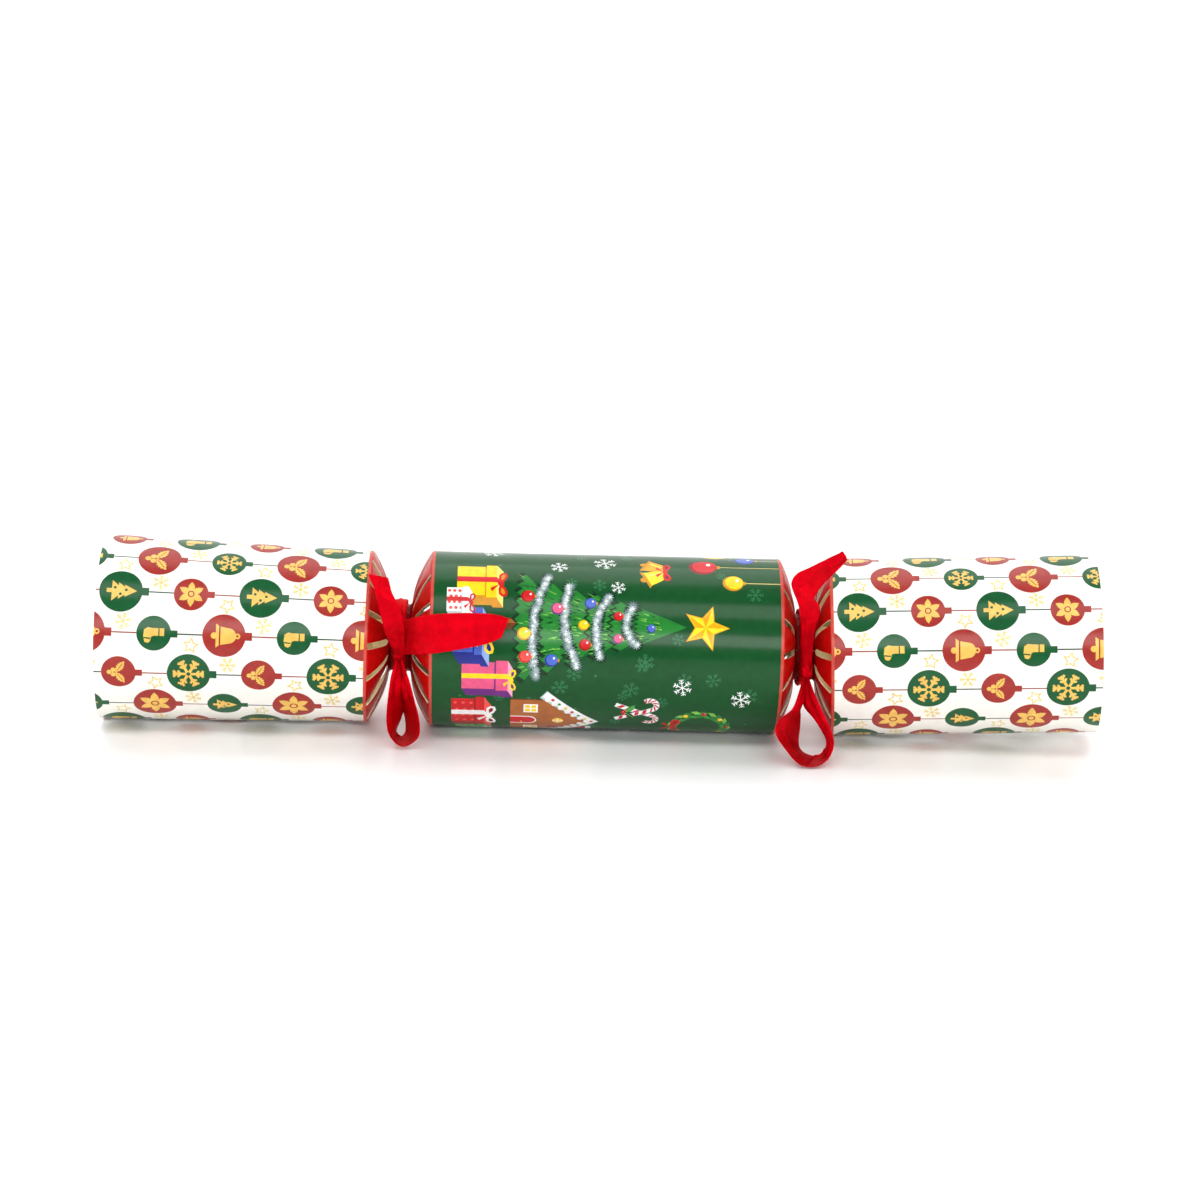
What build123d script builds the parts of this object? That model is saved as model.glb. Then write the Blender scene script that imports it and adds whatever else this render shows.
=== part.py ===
"""Christmas cracker lying on a table: slit and tied card sheet, two ribbons, snap and contents.

Millimetres. Z is up with the table at 0, X runs along the centre tube, and -Y is the side
that shows the knots. The origin is on the table under the middle of the centre tube.
"""
import os
from math import acos, atan2, cos, degrees, hypot, radians, sin

from build123d import *

# Card sheet, rolled into three tubes (outside radii)
card = 0.5
centre_radius = 27.2
centre_length = 105.5
end_length = 81.0
left_fold_radius = 26.6
left_mouth_radius = 28.7
right_radius = 27.6
right_yaw = 3.4
right_pitch = 3.1
seam_width = 10.0
seam_angle = 215.0

# Chokes: slit strips that fold in from the tube rims to the tied waist
left_choke_length = 20.7
right_choke_length = 18.0
strip_count = 16
fold_margin = 1.0
slit_root_width = 0.9
slit_waist_width = 2.0
strip_bulge = 1.2
waist_radius = 11.0
waist_land = 3.25
waist_gap = 1.0
left_inner_phase = 6.5
left_outer_phase = 9.8
right_inner_phase = 10.5
right_outer_phase = 12.7

# Ribbons
ribbon_width = 12.0
ribbon_thickness = 0.5
wrap_thickness = 1.0
wrap_width = 4.0
seat = 0.3
knot_width = 4.2
knot_depth = 4.6
knot_height = 7.0
left_knot_rise = 0.4
right_knot_rise = -2.6
left_loop_radius = 4.6
left_loop_lean = 31.0
right_loop_radius = 7.2
right_loop_lean = 54.0
long_tail_reach = 31.0
short_tail_rise = 21.4
right_tail_reach = 9.5
right_tail_rise = 36.5

# Snap
snap_width = 8.0
snap_thickness = 0.6
snap_gap = 0.5
snap_rise = 8.0
snap_overlap = 44.0
snap_inset = 6.0
sleeve_length = 24.0
sleeve_wall = 0.3
sleeve_play = 0.15
patch_length = 6.0
patch_thickness = 0.2

# Contents
crown_length = 52.0
crown_fold = 0.9
crown_pitch = 1.5
crown_core = 2.6
crown_half_turns = 6
crown_x = -19.0
motto_length = 42.0
motto_wall = 0.3
top_radius = 10.0
top_height = 8.0
top_bore = 1.5
top_x = 30.0

# Derived places
left_neck = -(centre_length + left_choke_length) / 2
right_neck = (centre_length + right_choke_length) / 2
left_reach = left_choke_length / 2 + end_length
left_pitch = degrees(
    acos(centre_radius / hypot(left_mouth_radius, left_reach)) - atan2(left_reach, left_mouth_radius)
)
wrap_inner = waist_radius + seat
wrap_outer = wrap_inner + wrap_thickness
knot_back = wrap_outer + seat
knot_front = knot_back + knot_depth

os.makedirs("parts", exist_ok=True)


def axial_plane(x, z, direction):
    """Plane at (x, 0, z) that looks along the given axis, with its own x pointing up."""
    return Plane(origin=(x, 0, z), x_dir=(0, 0, 1), z_dir=direction)


def half_section(plane):
    """Sketch plane through the axis of a plane: radius along x, distance along y."""
    return Plane(origin=plane.origin, x_dir=plane.x_dir, z_dir=-plane.y_dir)


def turned(plane, angle):
    """The same plane turned about its own z axis."""
    return Plane(plane.location * Location((0, 0, 0), (0, 0, angle)))


left_axis = (-cos(radians(left_pitch)), 0, sin(radians(left_pitch)))
right_axis = (
    cos(radians(right_pitch)) * cos(radians(right_yaw)),
    -cos(radians(right_pitch)) * sin(radians(right_yaw)),
    sin(radians(right_pitch)),
)
centre_plane = axial_plane(-centre_length / 2, centre_radius, (1, 0, 0))
left_inner_plane = axial_plane(left_neck, centre_radius, (1, 0, 0))
right_inner_plane = axial_plane(right_neck, centre_radius, (-1, 0, 0))
left_end_plane = axial_plane(left_neck, centre_radius, left_axis)
right_end_plane = axial_plane(right_neck, centre_radius, right_axis)


def card_tube(name, plane, start, length, start_radius, end_radius, seam_at):
    """A stretch of the rolled sheet, with the sheet's far edge tucked in and glued."""
    end = start + length
    axis = Axis(plane.origin, plane.z_dir)
    seam_arc = degrees(seam_width / start_radius)
    with BuildPart() as tube:
        with BuildSketch(half_section(plane)):
            with BuildLine():
                Polyline(
                    (start_radius - card, start),
                    (start_radius, start),
                    (end_radius, end),
                    (end_radius - card, end),
                    close=True,
                )
            make_face()
        revolve(axis=axis)
        with BuildSketch(half_section(turned(plane, seam_at))):
            with BuildLine():
                Polyline(
                    (start_radius - 2 * card, start),
                    (start_radius - card / 2, start),
                    (end_radius - card / 2, end),
                    (end_radius - 2 * card, end),
                    close=True,
                )
            make_face()
        revolve(axis=axis, revolution_arc=seam_arc)
    tube.part.label = name
    export_step(tube.part, f"parts/{name}.step")


def choke_strips(name, plane, rim_radius, rim_distance, phase):
    """Half of a choke: flat strips that fold in from a tube's rim and turn straight at the waist."""
    root = rim_distance - fold_margin
    pitch = 360 / strip_count
    drop = rim_radius - waist_radius
    depth = root - waist_land
    slope = hypot(drop, depth)
    knee = (
        rim_radius - drop / 2 + strip_bulge * depth / slope,
        root - depth / 2 - strip_bulge * drop / slope,
    )
    bends = [(rim_radius, root), knee, (waist_radius, waist_land), (waist_radius, waist_gap)]
    front = [(radius * cos(radians(pitch / 2)), along) for radius, along in bends]
    back = [(radius - card, along + card) for radius, along in front[:-1]]
    back.append((front[-1][0] - card, waist_gap))
    side = []
    for radius, along in bends:
        slit = slit_root_width + (slit_waist_width - slit_root_width) * (root - along) / (root - waist_gap)
        side.append((radius * sin(radians(pitch / 2)) - slit / 2, along))
    side.insert(0, (side[0][0], rim_distance))
    with BuildPart() as strip:
        with BuildSketch(half_section(Plane.XY)):
            with BuildLine():
                Polyline(*front, *reversed(back), close=True)
            make_face()
        extrude(amount=rim_radius, both=True)
        with BuildSketch(Plane.YZ):
            with BuildLine():
                Polyline(*side, *[(-across, along) for across, along in reversed(side)], close=True)
            make_face()
        extrude(amount=rim_radius + card, mode=Mode.INTERSECT)
    with BuildPart() as strips:
        with BuildSketch(turned(plane, phase).offset(root)):
            RegularPolygon(rim_radius, strip_count)
            RegularPolygon(rim_radius - 2 * card, strip_count, mode=Mode.SUBTRACT)
        extrude(amount=fold_margin)
        with Locations(*[turned(plane, phase + (index + 0.5) * pitch) for index in range(strip_count)]):
            add(strip.part)
    strips.part.label = name
    export_step(strips.part, f"parts/{name}.step")


card_tube("centre_tube", centre_plane, 0, centre_length, centre_radius, centre_radius, seam_angle)
card_tube(
    "left_end_tube",
    left_end_plane,
    left_choke_length / 2,
    end_length,
    left_fold_radius,
    left_mouth_radius,
    360 - seam_angle,
)
card_tube(
    "right_end_tube",
    right_end_plane,
    right_choke_length / 2,
    end_length,
    right_radius,
    right_radius,
    seam_angle,
)
left_half = left_choke_length / 2
right_half = right_choke_length / 2
choke_strips("left_inner_strips", left_inner_plane, centre_radius, left_half, left_inner_phase)
choke_strips("left_outer_strips", left_end_plane, left_fold_radius, left_half, left_outer_phase)
choke_strips("right_inner_strips", right_inner_plane, centre_radius, right_half, right_inner_phase)
choke_strips("right_outer_strips", right_end_plane, right_radius, right_half, right_outer_phase)


def ribbon_wrap(name, plane):
    """The gathered turns of ribbon that tie a waist."""
    with BuildPart() as wrap:
        with BuildSketch(half_section(plane)):
            with Locations((wrap_inner + wrap_thickness / 2, 0)):
                Rectangle(wrap_thickness, wrap_width)
        revolve(axis=Axis(plane.origin, plane.z_dir))
    wrap.part.label = name
    export_step(wrap.part, f"parts/{name}.step")


def ribbon_knot(name, neck, rise):
    """The knot in front of a wrap, narrow enough to sit in the choke."""
    with BuildPart() as knot:
        with Locations((neck, -(knot_back + knot_depth / 2), centre_radius + rise)):
            Box(knot_width, knot_depth, knot_height)
        chamfer(knot.edges(), knot_width * 0.14)
    knot.part.label = name
    export_step(knot.part, f"parts/{name}.step")


def ribbon_loop(name, neck, rise, radius, lean, swing):
    """A ribbon loop that hangs from under the knot and leans forward to rest on the table."""
    top = centre_radius + rise - knot_height / 2 - 2.5 * seat
    length = (top - seat - loop_width / 2 * sin(radians(lean))) / cos(radians(lean))
    leaning = Plane(
        origin=(neck, -knot_front, top),
        x_dir=(1, 0, 0),
        z_dir=(0, -cos(radians(lean)), sin(radians(lean))),
    )
    with BuildPart() as loop:
        with BuildSketch(turned(leaning, swing)):
            with Locations((0, -2 * ribbon_thickness)):
                Circle(2 * ribbon_thickness)
            with Locations((0, radius - length)):
                Circle(radius)
            make_hull()
            offset(amount=-ribbon_thickness, mode=Mode.SUBTRACT)
        extrude(amount=loop_width / 2, both=True)
    loop.part.label = name
    export_step(loop.part, f"parts/{name}.step")


def ribbon_tail(name, stations):
    """A free ribbon end, lofted through (place, heading, across, width) stations."""
    with BuildPart() as tail:
        for place, heading, across, width in stations:
            with BuildSketch(Plane(origin=place, x_dir=across, z_dir=heading)):
                Rectangle(width, ribbon_thickness)
        loft(ruled=True)
    tail.part.label = name
    export_step(tail.part, f"parts/{name}.step")


loop_width = ribbon_width * 0.8
tail_start = -(knot_front + 4 * seat)
tail_lift = centre_radius + 1.0
left_tie = centre_radius + left_knot_rise
right_tie = centre_radius + right_knot_rise

ribbon_wrap("left_ribbon_wrap", left_inner_plane)
ribbon_wrap("right_ribbon_wrap", right_inner_plane)
ribbon_knot("left_ribbon_knot", left_neck, left_knot_rise)
ribbon_knot("right_ribbon_knot", right_neck, right_knot_rise)
ribbon_loop("left_ribbon_loop", left_neck, left_knot_rise, left_loop_radius, left_loop_lean, 2)
ribbon_loop("right_ribbon_loop", right_neck, right_knot_rise, right_loop_radius, right_loop_lean, 2)
tail_tuck = ribbon_width * 0.4
long_across = (0, 0.33, 0.94)
ribbon_tail(
    "left_ribbon_long_tail",
    [
        ((left_neck + 0.04 * long_tail_reach, tail_start, left_tie), (0.5, -0.8, 0.3), long_across, tail_tuck),
        ((left_neck + 0.1 * long_tail_reach, -tail_lift * 0.84, left_tie + 0.2 * ribbon_width),
         (0.6, -0.75, 0.3), long_across, 0.6 * ribbon_width),
        ((left_neck + 0.23 * long_tail_reach, -tail_lift * 0.96, left_tie + 0.5 * ribbon_width),
         (0.85, -0.3, 0.2), long_across, 0.8 * ribbon_width),
        ((left_neck + 0.45 * long_tail_reach, -tail_lift * 0.94, left_tie + 0.8 * ribbon_width),
         (1, 0, 0.06), long_across, ribbon_width),
        ((left_neck + long_tail_reach, -tail_lift * 0.95, left_tie + 0.75 * ribbon_width),
         (0.98, 0.05, -0.2), long_across, ribbon_width),
    ],
)
ribbon_tail(
    "left_ribbon_short_tail",
    [
        ((left_neck - 3 * seat, tail_start + 2 * seat, left_tie + 0.13 * short_tail_rise),
         (-0.2, -0.35, 0.9), (1, 0, 0.2), tail_tuck),
        ((left_neck - 7 * seat, tail_start - 6 * seat, left_tie + 0.52 * short_tail_rise),
         (-0.2, 0.1, 1), (1, 0, 0.2), 0.6 * ribbon_width),
        ((left_neck - 7 * seat, tail_start + 2 * seat, left_tie + short_tail_rise),
         (-0.15, 0.4, 0.9), (1, 0, 0.2), 0.7 * ribbon_width),
    ],
)
ribbon_tail(
    "right_ribbon_tail",
    [
        ((right_neck, tail_start, right_tie + 0.07 * right_tail_rise), (0, -0.25, 1), (1, 0, 0), tail_tuck),
        ((right_neck, tail_start - 5 * seat, right_tie + 0.38 * right_tail_rise),
         (0, 0, 1), (1, 0, 0), 0.6 * ribbon_width),
        ((right_neck - 3 * seat, tail_start - 9 * seat, right_tie + 0.68 * right_tail_rise),
         (0.2, 0.15, 0.95), (1, 0, -0.2), 0.75 * ribbon_width),
        ((right_neck + right_tail_reach, tail_start + 12 * seat, right_tie + right_tail_rise),
         (0.75, 0.45, 0.5), (0.5, 0, -0.85), tail_tuck),
    ],
)

# Snap: one strip from each end, overlapping in the middle inside a paper sleeve
upper_snap = centre_radius + snap_rise + snap_thickness / 2
lower_snap = upper_snap - snap_thickness - snap_gap
left_snap_end = left_neck - left_reach + snap_inset
right_snap_end = right_neck + right_choke_length / 2 + end_length - snap_inset


def snap_strip(name, from_x, to_x, height):
    """A flat card strip along the cracker."""
    with BuildPart() as strip:
        with BuildSketch(Plane.XY.offset(height - snap_thickness / 2)):
            with Locations(((from_x + to_x) / 2, 0)):
                RectangleRounded(abs(to_x - from_x), snap_width, 1)
        extrude(amount=snap_thickness)
    strip.part.label = name
    export_step(strip.part, f"parts/{name}.step")


def snap_patch(name, x, underside):
    """A small patch printed on a strip inside the sleeve."""
    with BuildPart() as patch:
        with BuildSketch(Plane.XY.offset(underside)):
            with Locations((x, 0)):
                Rectangle(patch_length, snap_width * 0.75)
        extrude(amount=patch_thickness)
    patch.part.label = name
    export_step(patch.part, f"parts/{name}.step")


snap_strip("left_snap_strip", left_snap_end, snap_overlap / 2, lower_snap)
snap_strip("right_snap_strip", -snap_overlap / 2, right_snap_end, upper_snap)
snap_patch("snap_charge", -patch_length * 0.6, lower_snap + snap_thickness / 2)
snap_patch("snap_grit", patch_length * 0.6, upper_snap - snap_thickness / 2 - patch_thickness)

stack = 2 * snap_thickness + snap_gap + 2 * sleeve_play
with BuildPart() as snap_sleeve:
    with BuildSketch(axial_plane(-sleeve_length / 2, (upper_snap + lower_snap) / 2, (1, 0, 0))):
        Rectangle(stack + 2 * sleeve_wall, snap_width + 2 * sleeve_play + 2 * sleeve_wall)
        Rectangle(stack, snap_width + 2 * sleeve_play, mode=Mode.SUBTRACT)
    extrude(amount=sleeve_length)
snap_sleeve.part.label = "snap_sleeve"
export_step(snap_sleeve.part, "parts/snap_sleeve.step")

# Contents, lying along the bottom of the centre tube
crown_radius = crown_core + crown_half_turns * crown_pitch / 2 + crown_fold
floor_radius = centre_radius - card - seat
crown_height = centre_radius - floor_radius + crown_radius - crown_pitch / 2
crown_plane = axial_plane(crown_x - crown_length / 2, crown_height, (1, 0, 0))
top_plane = axial_plane(top_x, centre_radius - floor_radius + top_radius, (1, 0, 0))

with BuildPart() as paper_crown:
    with BuildSketch(crown_plane):
        with BuildLine():
            for lift in (0, crown_fold):
                for turn in range(crown_half_turns):
                    side = 1 if turn % 2 == 0 else -1
                    near = crown_core + lift + turn * crown_pitch / 2
                    far = near + crown_pitch / 2
                    middle = side * (near - far) / 2
                    ThreePointArc((side * near, 0), (middle, side * (near + far) / 2), (-side * far, 0))
            Line((crown_core, 0), (crown_core + crown_fold, 0))
            Line((crown_radius - crown_fold, 0), (crown_radius, 0))
        make_face()
    extrude(amount=crown_length)
    with BuildSketch(Plane.XZ):
        for step in (-1, 0, 1):
            with Locations((crown_x + crown_length / 2, crown_height + step * crown_radius * 0.66)):
                Triangle(a=crown_radius * 0.5, B=70, C=70, rotation=90, align=(Align.CENTER, Align.MIN))
    extrude(amount=crown_radius * 1.5, both=True, mode=Mode.SUBTRACT)
paper_crown.part.label = "paper_crown"
export_step(paper_crown.part, "parts/paper_crown.step")

with BuildPart() as motto_slip:
    with BuildSketch(half_section(axial_plane(crown_x, crown_height, (1, 0, 0)))):
        with Locations((crown_core - seat - motto_wall / 2, 0)):
            Rectangle(motto_wall, motto_length)
    revolve(axis=Axis(crown_plane.origin, (1, 0, 0)), revolution_arc=330)
motto_slip.part.label = "motto_slip"
export_step(motto_slip.part, "parts/motto_slip.step")

with BuildPart() as top_disc:
    with BuildSketch(half_section(top_plane)):
        with BuildLine():
            Polyline(
                (top_bore, top_height * 0.2),
                (top_radius, top_height * 0.2),
                (top_radius, -top_height * 0.2),
                (top_bore, -top_height * 0.8),
                close=True,
            )
        make_face()
    revolve(axis=Axis(top_plane.origin, (1, 0, 0)))
top_disc.part.label = "top_disc"
export_step(top_disc.part, "parts/top_disc.step")

with BuildPart() as top_spindle:
    with BuildSketch(half_section(top_plane)):
        with BuildLine():
            Polyline(
                (0, -top_height * 1.35),
                (top_bore, -top_height),
                (top_bore, top_height * 1.3),
                (top_bore * 1.5, top_height * 1.3),
                (top_bore * 1.5, top_height * 1.6),
                (0, top_height * 1.6),
                close=True,
            )
        make_face()
    revolve(axis=Axis(top_plane.origin, (1, 0, 0)))
top_spindle.part.label = "top_spindle"
export_step(top_spindle.part, "parts/top_spindle.step")
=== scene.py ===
"""Christmas cracker: printed card tubes, slit chokes tied with satin ribbon, and what is packed inside."""
import cmath
import random
from math import acos, atan2, ceil, copysign, cos, degrees, exp, hypot, pi, radians, sin, sqrt, tau

import bpy
from mathutils import Matrix, Vector
from mathutils.geometry import delaunay_2d_cdt


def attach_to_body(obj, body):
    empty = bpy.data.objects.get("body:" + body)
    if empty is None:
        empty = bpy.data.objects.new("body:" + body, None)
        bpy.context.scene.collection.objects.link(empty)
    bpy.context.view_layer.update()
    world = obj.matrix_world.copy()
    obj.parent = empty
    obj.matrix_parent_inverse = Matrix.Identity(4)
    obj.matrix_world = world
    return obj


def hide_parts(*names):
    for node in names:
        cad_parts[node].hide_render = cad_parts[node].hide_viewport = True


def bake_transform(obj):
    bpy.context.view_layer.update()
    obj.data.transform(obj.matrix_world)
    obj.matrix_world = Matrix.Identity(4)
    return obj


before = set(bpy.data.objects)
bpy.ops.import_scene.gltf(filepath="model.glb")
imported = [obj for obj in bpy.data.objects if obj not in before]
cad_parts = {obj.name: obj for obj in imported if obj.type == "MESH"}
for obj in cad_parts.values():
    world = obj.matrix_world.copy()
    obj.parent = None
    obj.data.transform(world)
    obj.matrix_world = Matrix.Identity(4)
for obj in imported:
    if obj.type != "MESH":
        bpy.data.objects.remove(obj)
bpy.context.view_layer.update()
MM = 0.001
scene = bpy.context.scene

# Sizes in millimetres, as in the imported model
CARD = 0.5
AXIS_HEIGHT = 27.2
CENTRE_RADIUS = 27.2
CENTRE_LENGTH = 105.5
END_LENGTH = 81.0
LEFT_FOLD_RADIUS = 26.6
LEFT_MOUTH_RADIUS = 28.7
RIGHT_RADIUS = 27.6
LEFT_HALF = 10.35
RIGHT_HALF = 9.0
LEFT_NECK = -63.1
RIGHT_NECK = 61.75
LEFT_REACH = LEFT_HALF + END_LENGTH
LEFT_LEAN = atan2(LEFT_REACH, LEFT_MOUTH_RADIUS)
LEFT_PITCH = acos(CENTRE_RADIUS / hypot(LEFT_MOUTH_RADIUS, LEFT_REACH)) - LEFT_LEAN
RIGHT_YAW = radians(3.4)
RIGHT_PITCH = radians(3.1)
WAIST_RADIUS = 11.0
WAIST_LAND = 3.25
WAIST_GAP = 1.0
FOLD_MARGIN = 1.0
STRIPS = 16

# Camera, first, at the photograph's viewing angle
CAMERA_DISTANCE = 960.0
CAMERA_ELEVATION = radians(16)
CAMERA_AZIMUTH = radians(-1.7)
CAMERA_ROLL = radians(1.84)
CAMERA_FIELD = radians(21.9)
AIM = Vector((-1.8, 0, 40.8))


def bearing(elevation, azimuth):
    """Direction away from the object: azimuth 0 is in front, half a turn is behind."""
    return Vector((sin(azimuth) * cos(elevation), -cos(azimuth) * cos(elevation), sin(elevation)))


def add_camera():
    """Camera at the photograph's height, distance and slight roll."""
    data = bpy.data.cameras.new("camera")
    data.sensor_fit = "HORIZONTAL"
    data.angle = CAMERA_FIELD
    data.clip_start = 0.01
    camera = bpy.data.objects.new("camera", data)
    scene.collection.objects.link(camera)
    away = bearing(CAMERA_ELEVATION, CAMERA_AZIMUTH)
    turn = (-away).to_track_quat("-Z", "Y").to_matrix().to_4x4()
    place = Matrix.Translation((AIM + away * CAMERA_DISTANCE) * MM)
    camera.matrix_world = place @ turn @ Matrix.Rotation(CAMERA_ROLL, 4, "Z")
    scene.camera = camera


add_camera()


# Materials
def linear(*screen):
    """Colour of 0-255 screen values as linear light."""
    values = [value / 255 for value in screen]
    return (*(v / 12.92 if v <= 0.04045 else ((v + 0.055) / 1.055) ** 2.4 for v in values), 1.0)


def shade(colour, factor):
    """The same screen colour, lighter or darker."""
    return tuple(max(0, min(255, c * factor)) for c in colour)


def put(node, **inputs):
    """Set a node's inputs, named with _ for a space, or link them to another node's output."""
    for key, value in inputs.items():
        socket = node.inputs[key.replace("_", " ")]
        if isinstance(value, bpy.types.NodeSocket):
            node.id_data.links.new(value, socket)
        else:
            socket.default_value = value


def add_node(tree, kind, output, **inputs):
    """One output of a new shader node with its inputs set."""
    node = tree.nodes.new(f"ShaderNode{kind}")
    put(node, **inputs)
    return node.outputs[output]


class Surface:
    """A Principled material with small helpers to lay patterns into it."""

    def __init__(self, name, roughness, **inputs):
        self.material = bpy.data.materials.new(name)
        self.material.use_nodes = True
        self.tree = self.material.node_tree
        self.shader = self.tree.nodes["Principled BSDF"]
        self.place = self.tree.nodes.new("ShaderNodeTexCoord")
        put(self.shader, Roughness=roughness, **inputs)

    def span(self, value, **inputs):
        return add_node(self.tree, "MapRange", "Result", Value=value, **inputs)

    def noise(self, scale, detail, stretch=(1, 1, 1)):
        spot = add_node(self.tree, "Mapping", "Vector", Vector=self.place.outputs["Object"], Scale=stretch)
        return add_node(self.tree, "TexNoise", "Fac", Vector=spot, Scale=scale, Detail=detail)

    def tones(self, factor, dark, light, low=0.35, high=0.65):
        ramp = self.tree.nodes.new("ShaderNodeValToRGB")
        for end, at, colour in zip(ramp.color_ramp.elements, (low, high), (dark, light)):
            end.position = at
            end.color = linear(*colour)
        put(ramp, Fac=factor)
        put(self.shader, Base_Color=ramp.outputs["Color"])

    def rough_between(self, factor, low, high):
        put(self.shader, Roughness=self.span(factor, To_Min=low, To_Max=high))

    def bump(self, height, distance, **under):
        normal = add_node(self.tree, "Bump", "Normal", Height=height, Distance=distance, **under)
        put(self.shader, Normal=normal)


def ink(name, colour, vary=0.05, coat=0.4):
    """Ink under a clear gloss laminate on card, faintly mottled."""
    surface = Surface(name, 0.4, Coat_Weight=coat, Coat_Roughness=0.165, Specular_IOR_Level=0.08)
    surface.tones(surface.noise(420, 4), shade(colour, 1 - vary), shade(colour, 1 + vary))
    surface.rough_between(surface.noise(160, 3), 0.34, 0.46)
    surface.bump(surface.noise(900, 3), 0.00002)
    return surface.material


def paper(name, dark, light, roughness=0.85, scale=700, relief=0.00004):
    """Bare paper or board with visible fibre."""
    surface = Surface(name, roughness, Specular_IOR_Level=0.2)
    surface.tones(surface.noise(scale, 6, (1, 0.35, 1)), dark, light, 0.3, 0.7)
    surface.bump(surface.noise(scale * 1.6, 4), relief)
    return surface.material


def satin(name, colour):
    """Satin ribbon: fine lengthwise ribs, soft sheen, slightly uneven dye."""
    surface = Surface(name, 0.4, Metallic=0.65, Specular_IOR_Level=0.25, Anisotropic=0.4,
                      Specular_Tint=linear(255, 60, 70))
    surface.tones(surface.noise(260, 5), shade(colour, 0.93), shade(colour, 1.05))
    surface.rough_between(surface.noise(900, 3), 0.32, 0.46)
    ribs = surface.tree.nodes.new("ShaderNodeTexWave")
    ribs.bands_direction = "Y"
    put(ribs, Scale=1400, Distortion=0.6, Detail=1.0, Vector=surface.place.outputs["UV"])
    weave = add_node(surface.tree, "Bump", "Normal", Height=ribs.outputs["Fac"], Distance=0.00003)
    surface.bump(surface.noise(330, 4), 0.0005, Normal=weave)
    return surface.material


def plastic(name, colour):
    """Moulded plastic with faint flow marks."""
    surface = Surface(name, 0.3, Specular_IOR_Level=0.5)
    surface.tones(surface.noise(120, 3, (1, 0.3, 0.3)), shade(colour, 0.94), shade(colour, 1.05))
    surface.rough_between(surface.noise(300, 3), 0.24, 0.36)
    surface.bump(surface.noise(1500, 2), 0.00001)
    return surface.material


INKS = {
    "white": (243, 241, 234),
    "green": (16, 84, 44),
    "brick": (158, 46, 40),
    "gold": (234, 188, 92),
    "straw": (228, 204, 122),
    "green_line": (26, 70, 46),
    "brick_line": (150, 66, 56),
    "barrel": (6, 74, 30),
    "fir_dark": (3, 46, 20),
    "fir": (32, 124, 44),
    "fir_light": (122, 190, 78),
    "tinsel_dark": (92, 116, 116),
    "tinsel": (158, 176, 176),
    "tinsel_light": (216, 226, 224),
    "star": (252, 218, 40),
    "star_dark": (238, 164, 12),
    "yellow": (250, 208, 24),
    "yellow_light": (254, 234, 110),
    "amber": (206, 140, 14),
    "red": (204, 26, 32),
    "red_light": (234, 82, 74),
    "red_dark": (138, 10, 22),
    "blue": (34, 44, 138),
    "blue_light": (74, 102, 198),
    "blue_pale": (146, 174, 232),
    "purple": (104, 38, 120),
    "pink": (222, 84, 128),
    "pink_light": (246, 164, 190),
    "biscuit": (170, 98, 46),
    "biscuit_dark": (114, 60, 26),
    "snow": (244, 247, 246),
    "snow_shade": (192, 210, 212),
    "frost": (44, 112, 70),
    "leaf": (54, 146, 54),
}
INK = {key: ink(f"ink_{key}", colour, 0.012 if key == "white" else 0.04) for key, colour in INKS.items()}
CHOKE_RED = ink("choke_red", (182, 8, 6), 0.06, 0.3)
# Painted shade: a dark red standing for the shadow on the strips where they are drawn into the waist under
# the ribbon.
WAIST_PAINTED_SHADE = ink("waist_painted_shade", (132, 4, 6), 0.08, 0.0)
# Painted highlight: a lighter coral over the rim folds, standing for the gloss reflection where the card
# turns in.
FOLD_PAINTED_HIGHLIGHT = ink("fold_painted_highlight", (196, 74, 62), 0.05, 0.35)
CARD_EDGE = paper("card_edge", (228, 210, 172), (246, 234, 206), 0.8, 900)
# Bare board inside, its colour lightened to stand in for light coming through the thin card: partly board
# colour, partly painted light.
KRAFT_PLUS_PAINTED_LIGHT = paper("kraft_inside_plus_painted_light", (236, 214, 170), (250, 236, 200))
SATIN = satin("red_satin", (208, 3, 22))
SNAP_CARD = paper("snap_board", (176, 150, 112), (206, 184, 150))
SNAP_PAPER = paper("snap_paper", (222, 214, 196), (240, 234, 220))
CHARGE = paper("snap_charge_grey", (92, 90, 88), (132, 128, 122), 0.9, 1600, 0.00008)
GRIT = paper("snap_grit_brown", (70, 46, 34), (112, 76, 54), 0.95, 2200, 0.00012)
TISSUE = paper("tissue_purple", (126, 44, 120), (158, 70, 150), 0.7, 300, 0.00008)
MOTTO = paper("motto_white", (228, 226, 218), (246, 245, 240))
TOP_RED = plastic("top_red", (204, 30, 36))
TOP_YELLOW = plastic("top_yellow", (246, 200, 40))


# Mesh helpers
def build(name, points, faces, materials, kinds=None):
    """Smooth mesh object from points in millimetres, with one material index per face."""
    mesh = bpy.data.meshes.new(name)
    mesh.from_pydata([Vector(p) * MM for p in points], [], faces)
    for material in materials:
        mesh.materials.append(material)
    mesh.polygons.foreach_set("material_index", kinds or [0] * len(faces))
    mesh.polygons.foreach_set("use_smooth", [True] * len(faces))
    piece = bpy.data.objects.new(name, mesh)
    scene.collection.objects.link(piece)
    return piece


def attach(piece, body, slot, *nodes):
    """The piece rides on a body and stands for its nodes, which it hides; the slot is not used."""
    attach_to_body(piece, body)
    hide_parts(*nodes)


class Tube:
    """Round frame along an axis: distances from an origin, angles from the front up."""

    def __init__(self, neck, axis):
        self.origin = Vector((neck, 0, AXIS_HEIGHT))
        self.axis = Vector(axis).normalized()
        up = Vector((0, 0, 1))
        self.up = (up - self.axis * up.dot(self.axis)).normalized()
        self.side = self.axis.cross(self.up)
        self.front = self.side if self.side.y < 0 else -self.side

    def radial(self, angle):
        return self.front * cos(angle) + self.up * sin(angle)

    def spoke(self, angle):
        return self.up * cos(angle) + self.side * sin(angle)

    def at(self, along, direction, radius):
        return self.origin + self.axis * along + direction * radius


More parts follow.
